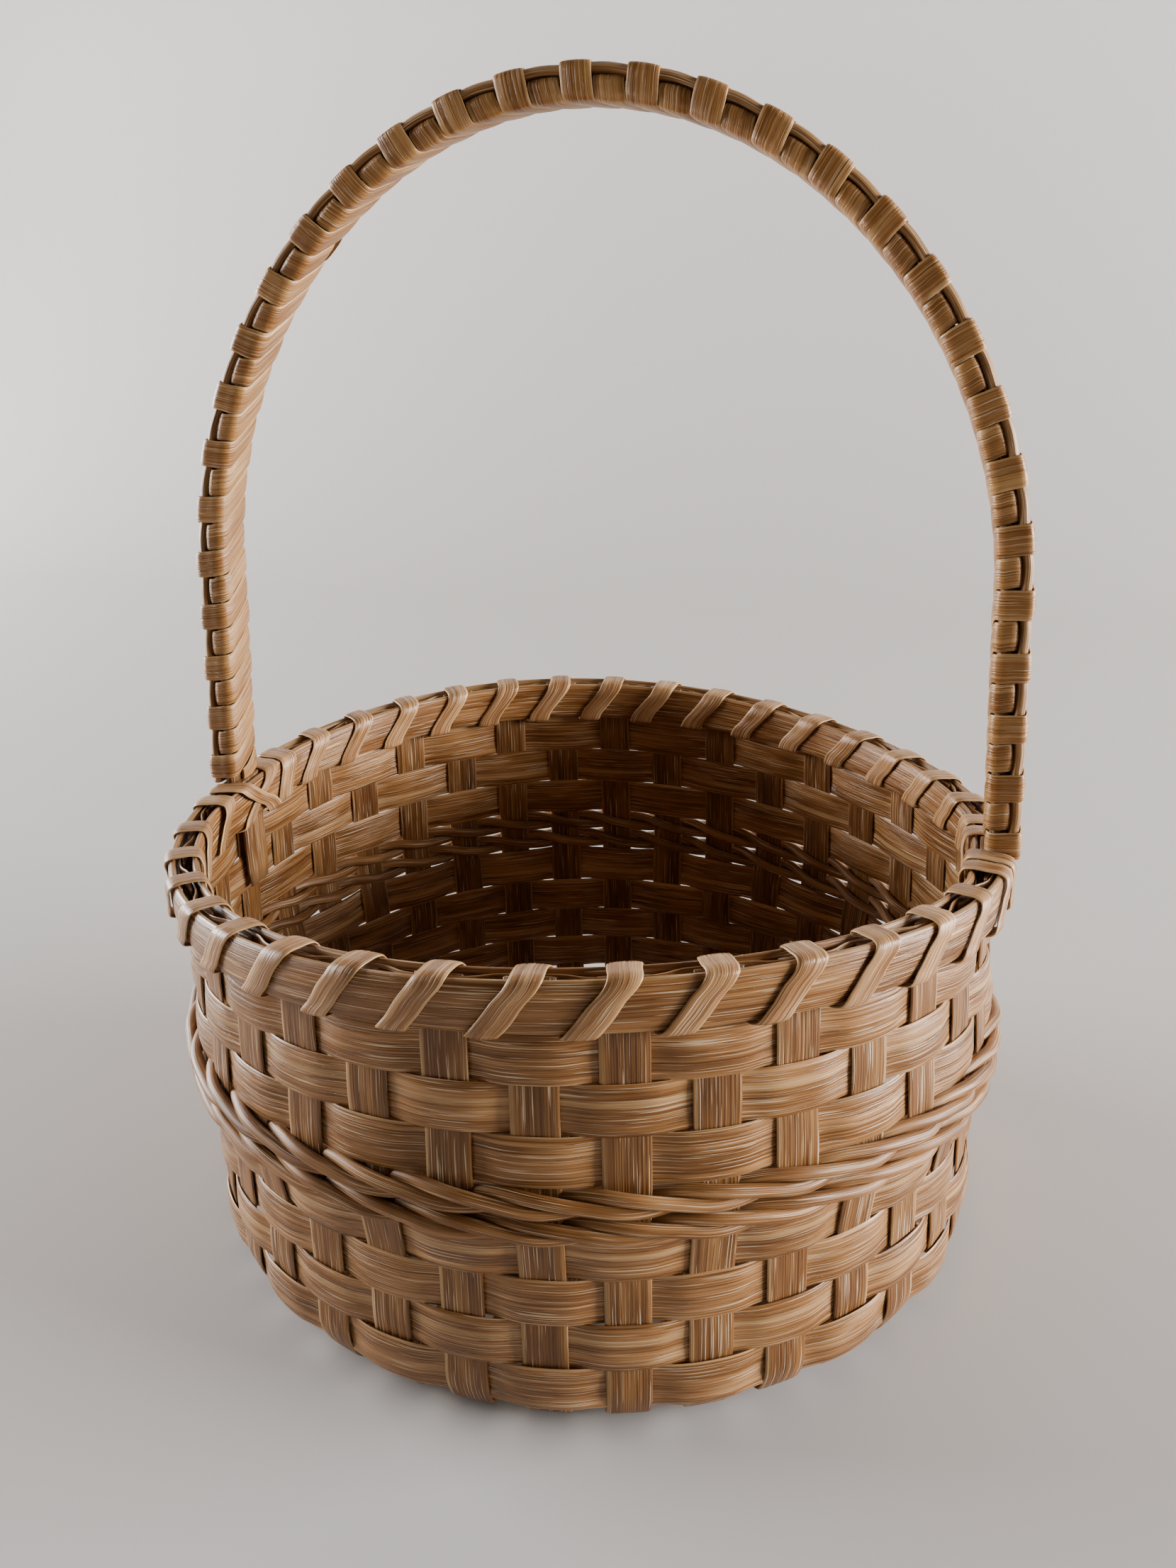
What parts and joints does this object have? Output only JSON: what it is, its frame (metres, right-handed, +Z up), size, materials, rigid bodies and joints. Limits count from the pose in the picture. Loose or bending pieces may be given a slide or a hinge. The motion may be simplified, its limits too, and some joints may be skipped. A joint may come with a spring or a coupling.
{
  "type": "gathering basket",
  "caption": "Round basket of woven flat reed with a band of round reed, a laced rim and a tall wrapped hoop handle, for gathering and carrying by hand.",
  "frame": {"origin": "middle of the basket on the floor it stands on", "axes": "+Z up; the handle's hoop stands in the XZ plane, so +X points at one leg of the handle and +Y along the way a hand reaches through"},
  "size_m": [0.31, 0.2928, 0.401],
  "materials": {
    "stake_reed": "dry flat reed, satin",
    "weaver_reed": "dry flat reed, satin",
    "round_reed": "dry round reed, satin",
    "hoop_reed": "flat oval reed, satin",
    "lasher_reed": "flat oval reed, satin",
    "handle_wood": "bent hardwood, satin",
    "overlay_reed": "dark flat reed, satin",
    "wrap_reed": "flat oval reed, satin"
  },
  "bodies": {
    "root": {"spoke_x_1": "stake_reed", "spoke_x_2": "stake_reed", "spoke_x_3": "stake_reed", "spoke_x_4": "stake_reed", "spoke_x_5": "stake_reed", "spoke_x_6": "stake_reed", "spoke_x_7": "stake_reed", "spoke_x_8": "stake_reed", "spoke_x_9": "stake_reed", "spoke_y_1": "stake_reed", "spoke_y_2": "stake_reed", "spoke_y_3": "stake_reed", "spoke_y_4": "stake_reed", "spoke_y_5": "stake_reed", "spoke_y_6": "stake_reed", "spoke_y_7": "stake_reed", "spoke_y_8": "stake_reed", "spoke_y_9": "stake_reed", "weaver_row_1": "weaver_reed", "weaver_row_2": "weaver_reed", "weaver_row_3": "weaver_reed", "weaver_row_4": "weaver_reed", "weaver_row_5": "weaver_reed", "weaver_row_6": "weaver_reed", "weaver_row_7": "weaver_reed", "rim_weaver": "weaver_reed", "wale_lower_a": "round_reed", "wale_lower_b": "round_reed", "wale_lower_c": "round_reed", "wale_upper_a": "round_reed", "wale_upper_b": "round_reed", "wale_upper_c": "round_reed", "base_twining_a": "round_reed", "base_twining_b": "round_reed", "base_twining_c": "round_reed", "base_twining_d": "round_reed", "rim_outer_hoop": "hoop_reed", "rim_inner_hoop": "hoop_reed", "rim_lashing_a": "lasher_reed", "rim_lashing_b": "lasher_reed", "leg_cross_right": "lasher_reed", "leg_cross_left": "lasher_reed", "handle_core": "handle_wood", "handle_overlay": "overlay_reed", "handle_wrap_a": "wrap_reed", "handle_wrap_b": "wrap_reed", "handle_wrap_c": "wrap_reed"}
  },
  "joints": []
}
